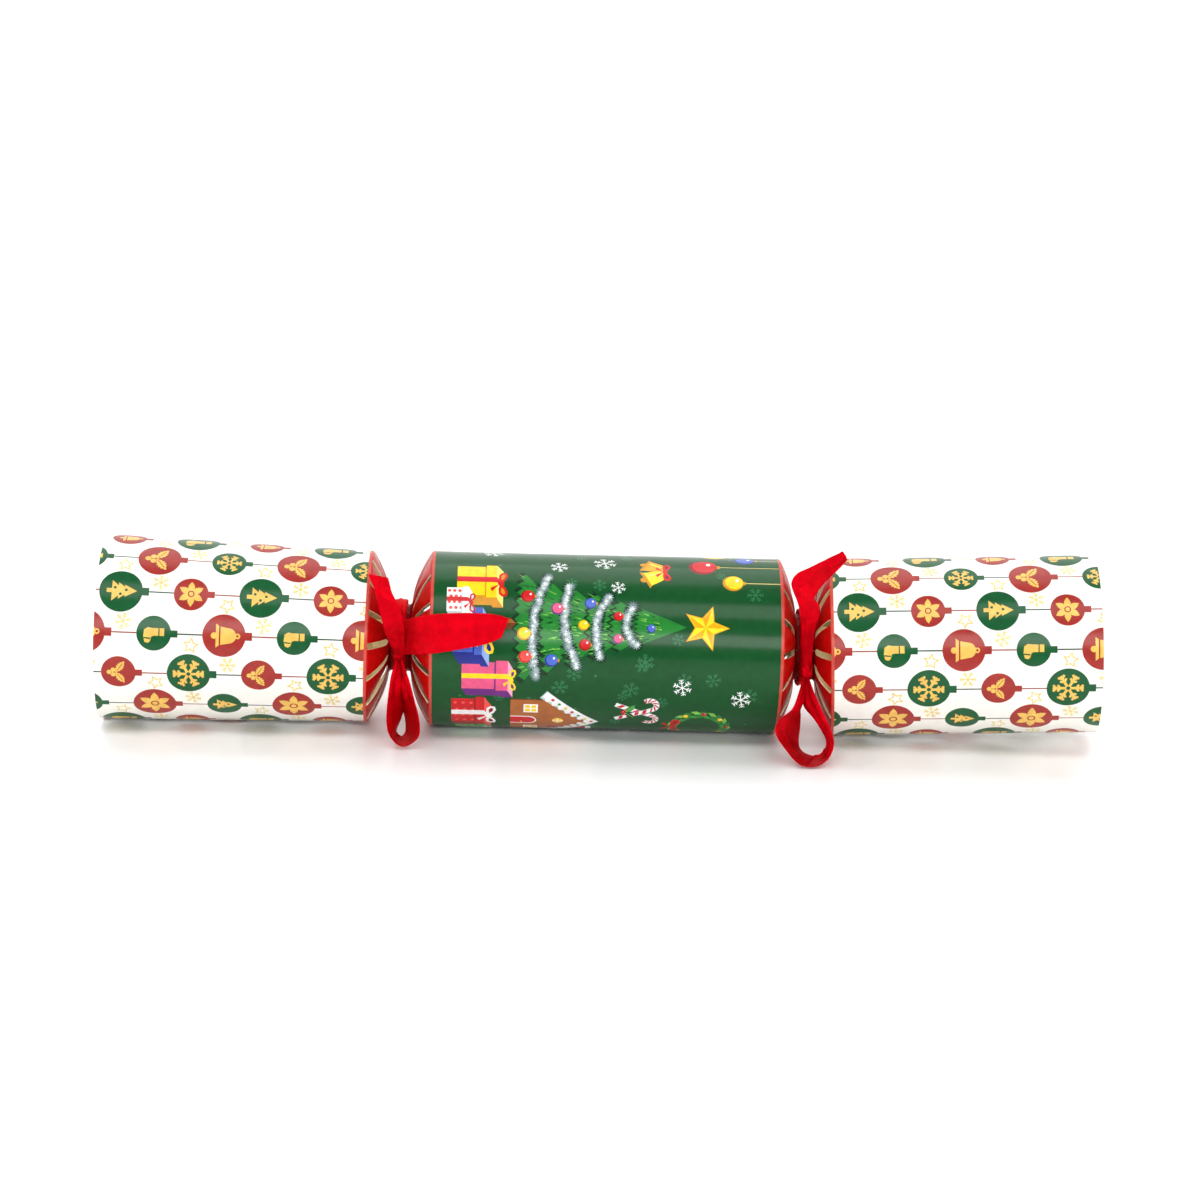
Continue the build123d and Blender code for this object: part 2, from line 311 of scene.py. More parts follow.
left_end = Tube(LEFT_NECK, (-cos(LEFT_PITCH), 0, sin(LEFT_PITCH)))
right_end = Tube(RIGHT_NECK, (
    cos(RIGHT_PITCH) * cos(RIGHT_YAW), -cos(RIGHT_PITCH) * sin(RIGHT_YAW), sin(RIGHT_PITCH)
))
left_inner = Tube(LEFT_NECK, (1, 0, 0))
right_inner = Tube(RIGHT_NECK, (-1, 0, 0))
centre = Tube(-CENTRE_LENGTH / 2, (1, 0, 0))


# Printed artwork: flat shapes, painted in order, in millimetres on the unrolled sheet
def polar(x, y, reach, angle):
    """The point at a reach and angle from another."""
    return x + reach * cos(angle), y + reach * sin(angle)


def arc(x, y, radius, start, end, steps=12):
    """Points on a circle from one angle to another, in degrees."""
    return [polar(x, y, radius, radians(start + (end - start) * i / steps)) for i in range(steps + 1)]


class Stamp:
    """A local frame, moved, turned and scaled, on a sheet, which is a list of (ink, outline)."""

    def __init__(self, sheet, x, y, turn=-90.0, scale=1.0):
        self.sheet = sheet
        self.place = complex(x, y)
        self.turn = cmath.rect(scale, radians(turn))

    def spot(self, x, y):
        at = self.place + self.turn * complex(x, y)
        return at.real, at.imag

    def local(self, x, y, turn=0.0, scale=1.0):
        """A frame inside this one."""
        inner = Stamp(self.sheet, *self.spot(x, y))
        inner.turn = self.turn * cmath.rect(scale, radians(turn))
        return inner

    def shape(self, colour, outline):
        self.sheet.append((colour, [self.spot(*point) for point in outline]))

    def box(self, colour, left, low, right, high):
        self.shape(colour, [(left, low), (right, low), (right, high), (left, high)])

    def disc(self, colour, x, y, radius, sides=24, flat=1.0):
        turns = [tau * i / sides for i in range(sides)]
        self.shape(colour, [(x + radius * cos(a), y + radius * flat * sin(a)) for a in turns])

    def star(self, colour, x, y, outer, inner, points, turn=90.0):
        self.shape(colour, [
            polar(x, y, (outer, inner)[i % 2], radians(turn) + pi * i / points) for i in range(points * 2)
        ])

    def stroke(self, colour, spine, width):
        """A line of even width along a row of points."""
        left, right = [], []
        for point, before, after in zip(spine, spine[:1] + spine[:-1], spine[1:] + spine[-1:]):
            along = Vector((after[0] - before[0], after[1] - before[1])).normalized()
            left.append((point[0] - along.y * width / 2, point[1] + along.x * width / 2))
            right.append((point[0] + along.y * width / 2, point[1] - along.x * width / 2))
        self.shape(colour, left + right[::-1])

    def bar(self, colour, start, end, width):
        self.stroke(colour, [start, end], width)


def flake(stamp, colour, size, width, barb=0.3):
    """Six arms with two pairs of barbs each."""
    for i in range(6):
        arm = stamp.local(0, 0, 60 * i + 30)
        arm.bar(colour, (0, 0), (size, 0), width)
        for root in (size * 0.5, size * 0.78):
            for lean in (-52, 52):
                arm.bar(colour, (root, 0), polar(root, 0, size * barb, radians(lean)), width * 0.85)


def leaf(length, width, notch):
    """Outline of a prickly leaf, from its stem to its tip and back."""
    edge = [(length * i / 12, width * sin(pi * i / 12) * (1.0 if i % 2 else notch)) for i in range(13)]
    return edge + [(x, -y) for x, y in edge[-2:0:-1]]


# Marks on the baubles, drawn for a bauble of radius 1
def fir_mark(stamp, colour, ground):
    for base, top, half in ((-0.42, 0.16, 0.5), (-0.12, 0.44, 0.4), (0.18, 0.74, 0.29)):
        stamp.shape(colour, [(-half, base), (half, base), (0, top)])
    stamp.box(colour, -0.1, -0.66, 0.1, -0.4)
    for x, y in ((-0.14, -0.28), (0.16, -0.02), (-0.04, 0.24)):
        stamp.disc(ground, x, y, 0.07, 10)


def bell_mark(stamp, colour, ground):
    stamp.disc(colour, 0, -0.46, 0.15, 14)
    stamp.shape(colour, [(-0.56, -0.38), (-0.44, -0.22), (-0.36, 0.18), *arc(0, 0.2, 0.36, 180, 0, 10),
                         (0.44, -0.22), (0.56, -0.38)])
    stamp.disc(colour, 0, 0.62, 0.13, 14)
    stamp.disc(ground, 0, 0.62, 0.06, 10)
    stamp.bar(ground, (-0.47, -0.2), (0.47, -0.2), 0.07)


def stocking_mark(stamp, colour, ground):
    stamp.shape(colour, [(-0.3, 0.6), (-0.3, -0.1), (-0.34, -0.34), (-0.2, -0.56), (0.2, -0.6), (0.5, -0.52),
                         (0.56, -0.34), (0.46, -0.2), (0.2, -0.14), (0.14, 0.0), (0.14, 0.6)])
    stamp.bar(ground, (-0.36, 0.3), (0.2, 0.3), 0.07)
    stamp.shape(ground, [(0.26, -0.2), (0.34, -0.2), (0.3, -0.58), (0.22, -0.58)])


def holly_mark(stamp, colour, ground):
    for side, turn in ((-1, 144), (1, 36)):
        stamp.local(0, -0.16, turn).shape(colour, leaf(0.86, 0.24, 0.62))
        stamp.bar(ground, (side * 0.1, -0.08), (side * 0.56, 0.25), 0.04)
    for x, y in ((-0.15, -0.3), (0.15, -0.3), (0, -0.54)):
        stamp.disc(colour, x, y, 0.14, 14)


def bloom_mark(stamp, colour, ground):
    petal = ((0, 0.02), (0.3, 0.2), (0.5, 0.23), (0.7, 0.16),
             (0.92, 0.0), (0.7, -0.16), (0.5, -0.23), (0.3, -0.2))
    for i in range(6):
        stamp.local(0, 0, 60 * i, 0.85).shape(colour, petal)
    stamp.disc(ground, 0, 0, 0.2, 16)
    stamp.disc(colour, 0, 0, 0.13, 14)


def flake_mark(stamp, colour, ground):
    flake(stamp, colour, 0.72, 0.13)
    stamp.disc(ground, 0, 0, 0.1, 10)


MARKS = (flake_mark, bell_mark, fir_mark, holly_mark, stocking_mark, bloom_mark)
SEAM_ANGLE = radians(-128)
SEAM_WIDTH = 0.2
FLAP_WIDTH = 10.0
FLAP_RUN = 0.5
FLAP_DEPTH = 0.45
ROW_COUNT = 14
ROW_START = 7.5
ROW_PERIOD = 42.0
STRING_HALF = 0.21
BIG_BAUBLE = 6.5
SMALL_BAUBLE = 5.2
BIG_CAP = 1.25
SMALL_CAP = 1.05


def bauble(sheet, x, y, radius, cap, colour, mark):
    """A flat printed bauble with its cap to the right."""
    stamp = Stamp(sheet, x, y)
    stamp.box(colour, -cap, radius - 0.5, cap, radius + 1.9)
    stamp.disc(colour, 0, 0, radius, 48)
    mark(stamp.local(0, 0, 0, radius), "gold", colour)


def end_print(round_length):
    """White sheet with rows of baubles on thin strings, stepped row by row."""
    sheet = []
    flat = Stamp(sheet, 0, 0, 0)
    for row in range(2, ROW_COUNT + 2):
        y = (row - 1.5 + SEAM_ANGLE / tau * ROW_COUNT) * round_length / ROW_COUNT
        shift = (row * ROW_PERIOD / 4) % ROW_PERIOD
        big, small = ("brick", "green") if row % 2 else ("green", "brick")
        for turn in range(-2, 3):
            x = ROW_START + shift + turn * ROW_PERIOD
            half = x + ROW_PERIOD / 2
            for start, colour in ((x, big), (half, small)):
                flat.box(f"{colour}_line", start, y - STRING_HALF, start + ROW_PERIOD / 2, y + STRING_HALF)
            bauble(sheet, x, y, BIG_BAUBLE, BIG_CAP, big, MARKS[row % 6])
            bauble(sheet, half, y, SMALL_BAUBLE, SMALL_CAP, small, MARKS[(row + 3) % 6])
            flake(Stamp(sheet, x + ROW_PERIOD / 4 + 1.2, y + 3.3, 15 * row), "straw", 2.4, 0.36, 0.34)
            outline = Stamp(sheet, x + ROW_PERIOD * 3 / 4 + 0.6, y - 3.3, 40 * row)
            outline.star("straw", 0, 0, 2.7, 1.3, 5)
            outline.star("white", 0, 0, 1.75, 0.8, 5)
    return sheet


def bow(stamp, x, y, size, colour, inside):
    """Two loops, two short ends and a knot."""
    local = stamp.local(x, y, 0, size)
    end = ((0, 0), (0.34, -0.62), (0.62, -0.5))
    loop = ((0, 0), (0.3, 0.34), (0.66, 0.5), (0.95, 0.42), (1.0, 0.16), (0.8, -0.06), (0.4, -0.1))
    hollow = ((0.3, 0.1), (0.5, 0.28), (0.76, 0.34), (0.84, 0.2), (0.66, 0.06))
    for lean in (-1, 1):
        for tone, outline in ((colour, end), (colour, loop), (inside, hollow)):
            local.shape(tone, [(lean * a, b) for a, b in outline])
    local.disc(colour, 0, 0.08, 0.2, 14)


def gift(stamp, x, y, width, height, tones, ribbon, dots=None):
    """A wrapped box seen a little from above, with lid, ribbon and bow."""
    face, side, light = tones
    depth = width * 0.28
    rise = depth * 0.6
    top, end = y + height, x + width
    edge, low = 0.06 * width, top - 0.26 * height

    def block(left, right, base):
        stamp.box(face, left, base, right, top)
        back = right + depth
        stamp.shape(side, [(right, base), (back, base + rise), (back, top + rise), (right, top)])

    block(x, end, y)
    if dots:
        for i in range(4):
            for j in range(3):
                spot = y + height * (0.12 + 0.24 * j) + 0.5 * (i % 2)
                stamp.disc(dots, x + width * (0.14 + 0.24 * i), spot, 0.55, 10)
    stamp.box(side, x, low - 0.45, end, low)
    block(x - edge, end + edge, low)
    stamp.shape(light, [(x - edge, top), (end + edge, top), (end + depth + edge, top + rise),
                        (x + depth - edge, top + rise)])
    left, right = x + width * 0.41, x + width * 0.59
    stamp.shape(ribbon, [(left, y), (right, y), (right, top), (right + depth, top + rise),
                         (left + depth, top + rise), (left, top)])
    bow(stamp, x + width / 2 + depth / 2, top + rise / 2, width * 0.4, ribbon, side)


def cane(stamp, x, y, height, lean, flip):
    """A striped candy cane."""
    local = stamp.local(x, y, lean, height)
    hook = 0.16
    spine = [(0, i / 10) for i in range(10)]
    spine += [(flip * (hook + a), b) for a, b in arc(0, 0.95, hook, 180, -20)]
    local.stroke("snow_shade", spine, 0.14)
    local.stroke("snow", spine, 0.115)
    for a, b in zip(spine[1::2], spine[2::2]):
        a, b = Vector(a), Vector(b)
        along = (b - a).normalized()
        skew = Vector((-along.y, along.x)) * 0.0575 + along * 0.04
        local.shape("red", [a + skew, a - skew, b - skew, b + skew])


DARKER = {"red": "red_dark", "red_light": "red", "yellow": "amber", "blue_light": "blue", "pink": "purple"}


def ball(stamp, x, y, radius, colour, cap=True):
    """A shiny tree ball with a shaded side and a highlight."""
    local = stamp.local(x, y, 0, radius)
    if cap:
        local.box("amber", -0.22, 0.9, 0.22, 1.22)
    local.disc(DARKER[colour], 0, 0, 1, 28)
    local.disc(colour, -0.1, 0.1, 0.86, 28)
    local.disc("snow", -0.36, 0.4, 0.2, 12, 0.8)


def hung_ball(stamp, x, y, radius, colour):
    """A ball on a cord from the edge of the sheet."""
    stamp.bar("straw", (x, y + radius), (x, CENTRE_LENGTH), 0.3)
    ball(stamp, x, y, radius, colour)


def tinsel(stamp, start, end, sag, count, rng):
    """A fluffy garland: tufts of foil along a sagging line, dark behind and bright in front."""
    spots = []
    for i in range(count):
        share = i / (count - 1)
        spots.append((
            start[0] + (end[0] - start[0]) * share,
            start[1] + (end[1] - start[1]) * share - sag * sin(pi * share),
        ))
    for colour, outer, inner, points, keep in (
        ("fir_dark", 2.1, 1.3, 11, 1.0), ("tinsel_dark", 1.8, 0.95, 11, 1.0), ("tinsel", 1.5, 0.5, 9, 1.0),
        ("tinsel_light", 1.15, 0.26, 7, 0.8), ("snow", 0.6, 0.12, 5, 0.6),
    ):
        for x, y in spots:
            if rng.random() < keep:
                stamp.star(colour, x + rng.uniform(-0.5, 0.5), y + rng.uniform(-0.5, 0.5),
                           outer * rng.uniform(0.85, 1.15), inner, points, rng.uniform(0, 90))


def tree(stamp, x, y, height, rng):
    """A decorated fir: tiers of jagged boughs, needles, garlands, balls and a star."""
    local = stamp.local(x, y)
    tiers = 6
    local.shape("biscuit_dark", [(-1.8, -4), (1.8, -4), (1.5, 3), (-1.5, 3)])
    local.shape("biscuit", [(-1.5, -4), (-0.2, -4), (-0.2, 3), (-1.2, 3)])
    for tier in range(tiers):
        base = height * tier / tiers * 0.86
        half = 20.5 * (1 - tier / tiers * 0.84)
        teeth = 26 - 2 * tier
        for colour, grow, drop in (("fir_dark", 1.0, 0.0), ("fir", 0.93, 0.9)):
            points = [(0, base + height * 0.3)]
            for tooth in range(teeth + 1):
                side = 1 - 2 * tooth / teeth
                sag = 2.2 * (1 - side ** 2)
                spike = 0.0 if tooth % 2 else -1.7
                points.append((half * grow * side, base + drop - sag + spike + 1.5 + rng.uniform(-0.2, 0.2)))
            local.shape(colour, points)
        for needle in range(64 - 7 * tier):
            share = rng.uniform(0.0, 0.6)
            spot = half * (1 - share) * rng.uniform(-0.86, 0.86)
            level = base + share * height * 0.22 + 1.0
            lean = spot * 0.08 + rng.uniform(-0.5, 0.5)
            local.shape(("fir_light", "leaf", "fir_dark")[needle % 3],
                        [(spot, level), (spot + 0.42, level + 0.1), (spot + lean, level - 2.2)])
    for level, half, lean in ((0.14, 16.6, 1.6), (0.33, 13.0, -1.4), (0.52, 9.6, 1.2), (0.7, 6.0, -0.8)):
        middle = height * level
        tinsel(local, (-half, middle + lean), (half, middle - lean), 2.6, int(half * 1.7), rng)
    for across, level, radius, colour in (
        (-9, 0.05, 2.1, "red"), (3, 0.03, 2.0, "yellow"), (11, 0.2, 2.0, "blue_light"),
        (-5, 0.23, 1.9, "pink"), (6, 0.4, 1.8, "red"), (-7, 0.43, 1.8, "blue_light"),
        (0, 0.39, 1.6, "yellow"), (4, 0.6, 1.5, "pink"), (-3, 0.6, 1.5, "red"),
        (10, 0.04, 1.9, "red_light"), (0.6, 0.8, 1.3, "blue_light"),
    ):
        ball(local, across, height * level, radius, colour)
    peak = height * 1.13
    local.star("star_dark", 0, peak, 7.4, 3.3, 5)
    local.star("star", 0, peak, 6.7, 2.9, 5)
    for i in range(5):
        angle = radians(90 + 72 * i)
        tip, valley = polar(0, peak, 6.3, angle), polar(0, peak, 2.8, angle + radians(36))
        local.shape("star_dark", [(0, peak), tip, valley])


def wreath(stamp, x, y, radius, rng):
    """A ring of leaves with berries and a bow."""
    local = stamp.local(x, y, 0, radius)
    for ring, colours in ((1.0, ("fir_dark", "fir")), (0.86, ("leaf", "fir")), (1.08, ("fir", "fir_light"))):
        for i in range(22):
            angle = tau * (i + 0.5 * (ring > 1)) / 22
            lie = degrees(angle + radians(70) + rng.uniform(-0.3, 0.3))
            local.local(*polar(0, 0, ring, angle), lie, 0.42).shape(
                colours[i % 2], [(-0.5, 0), (0, 0.24), (0.5, 0), (0, -0.24)])
    for i in range(9):
        ball(local, *polar(0, 0, 1, tau * (i + 0.3) / 9), 0.1, ("red", "yellow")[i % 2], False)
    bow(local, 0, -1, 0.62, "red", "red_dark")


def bells(stamp, x, y, size):
    """A pair of bells under a bow."""
    for lean, tone in ((-1, "star_dark"), (1, "star")):
        top = x + lean * 0.2 * size
        bell = stamp.local(top, y, 24 * lean, size)
        stamp.disc("amber", *polar(top, y, 1.04 * size, radians(24 * lean - 90)), 0.17 * size, 14)
        bell.shape(tone, [(-0.6, -1.0), (-0.46, -0.8), (-0.38, -0.3), (-0.26, 0.0),
                          (0.26, 0.0), (0.38, -0.3), (0.46, -0.8), (0.6, -1.0)])
        bell.shape("amber", [(-0.6, -1.0), (0.6, -1.0), (0.5, -0.86), (-0.5, -0.86)])
        bell.shape("yellow_light", [(-0.26, -0.76), (-0.14, -0.76), (-0.1, -0.2), (-0.18, -0.2)])
    bow(stamp, x, y, size * 0.66, "red", "red_dark")


def house(stamp, x, y, width):
    """A gingerbread house with icing, seen from the front."""
    local = stamp.local(x, y)
    wall = width * 0.62
    eave, ridge, middle = wall * 0.86, wall + width * 0.52, width / 2
    local.box("biscuit_dark", -0.4, 0, width + 0.4, wall)
    local.box("biscuit", 0, 0, width, wall)
    local.shape("biscuit", [(0, eave), (width, eave), (middle, ridge)])
    left, right = width * 0.72, width * 0.86
    local.box("brick", left, eave, right, ridge)
    local.shape("snow", [(left - 0.4, ridge - 0.8), (right + 0.4, ridge - 0.8), (right + 0.2, ridge + 0.9),
                         (left - 0.2, ridge + 0.9)])
    roof = [(-2.4, eave - 1.2), (middle, ridge + 1.4), (width + 2.4, eave - 1.2)]
    local.stroke("snow_shade", roof, 3.4)
    local.stroke("snow", [(a, b + 0.5) for a, b in roof], 2.5)
    for i in range(7):
        for side in (-1, 1):
            across = middle + side * (middle + 2) * i / 7
            level = ridge + 0.4 - (ridge - eave + 1.2) * i / 7
            local.disc("snow", across, level - 1.1, 0.85, 10)
            local.disc(("red", "yellow", "leaf")[i % 3], across, level + 0.5, 0.55, 10)
    for colour, half in (("snow", 2.6), ("red", 2.1)):
        top = arc(middle, wall * 0.42, half, 0, 180, 10)
        local.shape(colour, [*top, (middle - half, 0), (middle + half, 0)])
    local.disc("yellow", middle + 1.2, wall * 0.26, 0.36, 10)
    for window in (width * 0.18, width * 0.82):
        local.box("snow", window - 2, 4, window + 2, 8.4)
        local.box("yellow", window - 1.5, 4.5, window + 1.5, 7.9)
        local.bar("snow", (window, 4.4), (window, 8), 0.4)
        local.bar("snow", (window - 1.6, 6.2), (window + 1.6, 6.2), 0.4)
    level = eave + width * 0.16
    local.disc("yellow", middle, level, 1.7, 16)
    local.bar("snow", (middle - 1.7, level), (middle + 1.7, level), 0.35)
    local.bar("snow", (middle, level - 1.7), (middle, level + 1.7), 0.35)


def holly(stamp, x, y, size, turn):
    """A sprig of holly."""
    local = stamp.local(x, y, 0, size)
    for lean, colour in ((-48, "fir_dark"), (48, "leaf")):
        blade = local.local(0, 0, turn + lean)
        blade.shape(colour, leaf(1, 0.26, 0.6))
        blade.bar("fir_light", (0.1, 0), (0.85, 0), 0.05)
    for swing in (110, 180, 250):
        ball(local, *polar(0, 0, 0.17, radians(turn + swing)), 0.14, "red", False)


def barrel_print(round_length):
    """Green sheet with one festive scene, its top to the right, and frost all round."""
    sheet = []
    rng = random.Random(7)
    behind = Stamp(sheet, 0, pi * CENTRE_RADIUS)
    for x, y, radius, colour in (
        (-30, 70, 5.0, "yellow"), (-17, 84, 3.8, "red"), (-3, 62, 5.6, "blue_light"),
        (11, 80, 4.2, "pink"), (25, 68, 4.8, "red"), (37, 86, 3.6, "yellow"),
    ):
        hung_ball(behind, x, y, radius, colour)
        bow(behind, x, y + radius * 1.3, radius * 0.5, "straw", "amber")
    for x, y, turn in ((-24, 30, 70), (4, 24, 100), (31, 34, 85)):
        holly(behind, x, y, 9, turn)
    for x, y in ((-36, 14), (-10, 42), (16, 12), (20, 46), (40, 18), (-20, 12), (-38, 48)):
        flake(Stamp(sheet, y, pi * CENTRE_RADIUS - x, 12), "snow", 3.2, 0.34, 0.32)
    for _ in range(90):
        x = rng.uniform(5, CENTRE_LENGTH - 5)
        y = rng.uniform(-round_length / 2 + 4, round_length / 2 - 4)
        stamp = Stamp(sheet, x, y, rng.uniform(0, 60))
        size = rng.uniform(1.0, 2.6)
        if size > 1.5:
            flake(stamp, "frost", size, size * 0.12, 0.34)
        else:
            stamp.disc("frost", 0, 0, size * 0.35, 10)
    picture = Stamp(sheet, 0, 0)
    for x, y, radius, colour in (
        (-37, 82, 4.3, "red"), (-29, 91, 3.2, "yellow"), (-43, 95, 3.2, "blue_light"),
    ):
        hung_ball(picture, x, y, radius, colour)
    bells(picture, -33.5, 70, 6.5)
    tree(picture, -13, 26, 50, rng)
    wreath(picture, 25, 82, 8.4, rng)
    house(picture, 12, 24, 21)
    cane(picture, 13, 56, 13, -24, 1)
    cane(picture, 20, 56, 13, 24, -1)
    holly(picture, 16.5, 59, 4.6, 90)
    gift(picture, -34, 7, 12, 12, ("yellow", "amber", "yellow_light"), "red")
    gift(picture, 12, 6, 13, 10, ("red", "red_dark", "red_light"), "snow", "red_light")
    gift(picture, -1, 9, 9, 14, ("pink", "purple", "pink_light"), "yellow")
    gift(picture, -17, 6, 13, 9, ("blue_light", "blue", "blue_pale"), "star", "blue_pale")
    gift(picture, 28, 7, 8.5, 9, ("leaf", "fir_dark", "fir_light"), "snow", "fir_light")
    gift(picture, -24.5, 4, 8, 6.5, ("snow", "snow_shade", "snow"), "red", "red_light")
    for x, y, size in ((10, 94, 3.0), (36, 94, 3.4), (6, 76, 2.8), (-38, 52, 3.4),
                       (-35, 38, 2.6), (36, 60, 2.6), (-26, 56, 2.2)):
        flake(Stamp(sheet, y, -x, 10), "snow", size, size * 0.1, 0.32)
    return sheet


GRID_ROUND = 120
GRID_LONG = 4.0
RUN_STEP = 1.4
MERGE_DISTANCE = 1e-4
PROBE = 0.05
RIM_WAVE = 0.1
RIM_FADE = 8.0
LAP_STEP = 0.16
LAP_RUN = 9.0
SWELL_INSET = 0.1


def swell(angle, along, radius):
    """Small out-of-round of hand-rolled card, and the step where the sheet laps over itself."""
    wave = 0.07 * sin(2 * angle + 0.6 + along * 0.012) + 0.05 * sin(3 * angle - along * 0.03)
    wave += 0.03 * sin(5 * angle + 1.3 + along * 0.05)
    wave += RIM_WAVE * exp(-along / RIM_FADE) * sin(7 * angle + 1.1)
    past = ((angle - SEAM_ANGLE) % tau) * radius
    lap = LAP_STEP * max(0.0, 1 - past / LAP_RUN)
    return wave - SWELL_INSET + lap


def densify(outline):
    """Outline with no long run round the tube, so that it lies on the curve."""
    dense = []
    for start, end in zip(outline, outline[1:] + outline[:1]):
        parts = max(1, ceil(abs(end[1] - start[1]) / RUN_STEP))
        for part in range(parts):
            share = part / parts
            dense.append((start[0] + (end[0] - start[0]) * share, start[1] + (end[1] - start[1]) * share))
    return dense


def flat_mesh(length, half, outlines, extra=()):
    """Triangles of the unrolled sheet, each with the topmost outline that covers it."""
    points, edges, faces = [], [], []
    ring = [half * (2 * i / GRID_ROUND - 1) for i in range(GRID_ROUND + 1)]
    columns = max(2, round(length / GRID_LONG))
    run = [length * i / columns for i in range(columns + 1)]
    for side in (
        [(0.0, y) for y in ring], [(length, y) for y in ring],
        [(x, -half) for x in run], [(x, half) for x in run],
    ):
        edges += [(len(points) + i, len(points) + i + 1) for i in range(len(side) - 1)]
        points += side
    for x in run[1:-1]:
        points += [(x, y) for y in ring[1:-1]]
    points += extra
    for outline in outlines:
        dense = densify(outline)
        if sum(a[0] * b[1] - b[0] * a[1] for a, b in zip(dense, dense[1:] + dense[:1])) < 0:
            dense.reverse()
        faces.append(list(range(len(points), len(points) + len(dense))))
        points += dense
    corners = [Vector(p) for p in points]
    flat, _, triangles, _, _, owners = delaunay_2d_cdt(corners, edges, faces, 0, MERGE_DISTANCE, True)
    kept, top = [], []
    for triangle, owner in zip(triangles, owners):
        x = sum(flat[i].x for i in triangle) / len(triangle)
        y = sum(flat[i].y for i in triangle) / len(triangle)
        if 0 < x < length and -half < y < half:
            kept.append(tuple(triangle))
            top.append(max(owner) if owner else -1)
    return [(p.x, p.y) for p in flat], kept, top


def printed_tube(name, tube, start, length, near_radius, far_radius, sheet, ground, reverse):
    """A stretch of the rolled sheet: printed outside, bare board inside lightened with painted light, cut
    edges at both ends.
    """
    mean = (near_radius + far_radius) / 2
    half = pi * mean
    round_length = 2 * half
    seam = ((SEAM_ANGLE + pi) % tau - pi) * mean
    Stamp(sheet, 0, 0, 0).box("edge", -1, seam, length + 1, seam + SEAM_WIDTH)
    spread = []
    for colour, outline in sheet:
        if max(p[0] for p in outline) < 0 or min(p[0] for p in outline) > length:
            continue
        low, high = min(p[1] for p in outline), max(p[1] for p in outline)
        for shift in (0.0, round_length, -round_length):
            if low + shift < half and high + shift > -half:
                spread.append((colour, [(x, y + shift) for x, y in outline]))
    flat, triangles, top = flat_mesh(length, half, [outline for _, outline in spread])
    palette = [ground, *sorted({colour for colour, _ in spread} - {ground, "edge"}), "edge", "inside"]
    points, normals, faces, kinds, loops = [], [], [], [], []
    table = {}

    def surface(x, y, inset):
        angle = y / mean
        along = length - x if reverse else x
        radius = near_radius + (far_radius - near_radius) * along / length
        radius += swell(angle, x, mean) - inset
        if inset:
            past = ((angle - SEAM_ANGLE) % tau) * mean
            flap = min(1.0, max(0.0, past / FLAP_RUN)) * min(1.0, max(0.0, (FLAP_WIDTH - past) / FLAP_RUN))
            radius -= FLAP_DEPTH * flap
        return tube.at(start + along, tube.radial(angle), radius)

    def lean(x, y, inset):
        du = surface(x + PROBE, y, inset) - surface(x - PROBE, y, inset)
        dv = surface(x, y + PROBE, inset) - surface(x, y - PROBE, inset)
        normal = du.cross(dv).normalized()
        if normal.dot(tube.radial(y / mean)) < 0:
            normal.negate()
        return -normal if inset else normal

    def vertex(x, y, inset):
        mark = (inset > 0, round(x, 3), round(y if y < half - 1e-3 else y - round_length, 3))
        if mark not in table:
            table[mark] = len(points)
            points.append(surface(x, y, inset))
            normals.append(lean(x, y, inset))
        return table[mark]

    def add(corners, kind, facing=None):
        if len(set(corners)) < 3:
            return
        a, b, c = (points[i] for i in corners[:3])
        want = facing or sum((normals[i] for i in corners), Vector())
        if (b - a).cross(c - a).dot(want) < 0:
            corners = corners[::-1]
        faces.append(tuple(corners))
        kinds.append(palette.index(kind))
        loops.extend(facing or normals[i] for i in corners)

    def rim(mesh, x):
        return sorted({round(p[1], 6) for p in mesh if abs(p[0] - x) < 1e-5 and abs(p[1]) <= half + 1e-6})

    for triangle, owner in zip(triangles, top):
        add([vertex(*flat[i], 0.0) for i in triangle], spread[owner][0] if owner >= 0 else ground)
    extra = [(x, y) for x in (0.0, length) for y in rim(flat, x)]
    for edge in (seam, seam + FLAP_RUN, seam + FLAP_WIDTH - FLAP_RUN, seam + FLAP_WIDTH):
        extra += [(length * i / 20, (edge + half) % round_length - half) for i in range(21)]
    inner_flat, inner_triangles, _ = flat_mesh(length, half, [], extra)
    for triangle in inner_triangles:
        add([vertex(*inner_flat[i], CARD) for i in triangle], "inside")
    for x in (0.0, length):
        outward = tube.axis * (1 if (x == 0.0) == reverse else -1)
        levels, inner_levels = rim(flat, x), rim(inner_flat, x)
        outer_set = {round(y, 3) for y in levels}
        for low, high in zip(inner_levels, inner_levels[1:]):
            a, b = vertex(x, low, CARD), vertex(x, high, CARD)
            if round(low, 3) in outer_set and round(high, 3) in outer_set:
                add([vertex(x, low, 0.0), vertex(x, high, 0.0), b, a], "edge", outward)
                continue
            before = vertex(x, max((y for y in levels if y <= low + 1e-3), default=levels[0]), 0.0)
            after = vertex(x, min((y for y in levels if y >= high - 1e-3), default=levels[-1]), 0.0)
            if round(high, 3) in outer_set:
                add([before, after, b], "edge", outward)
            add([before, b, a], "edge", outward)
    materials = [INK[c] if c in INK else CARD_EDGE if c == "edge" else KRAFT_PLUS_PAINTED_LIGHT for c in palette]
    piece = build(name, points, faces, materials, kinds)
    piece.data.normals_split_custom_set(loops)
    return piece


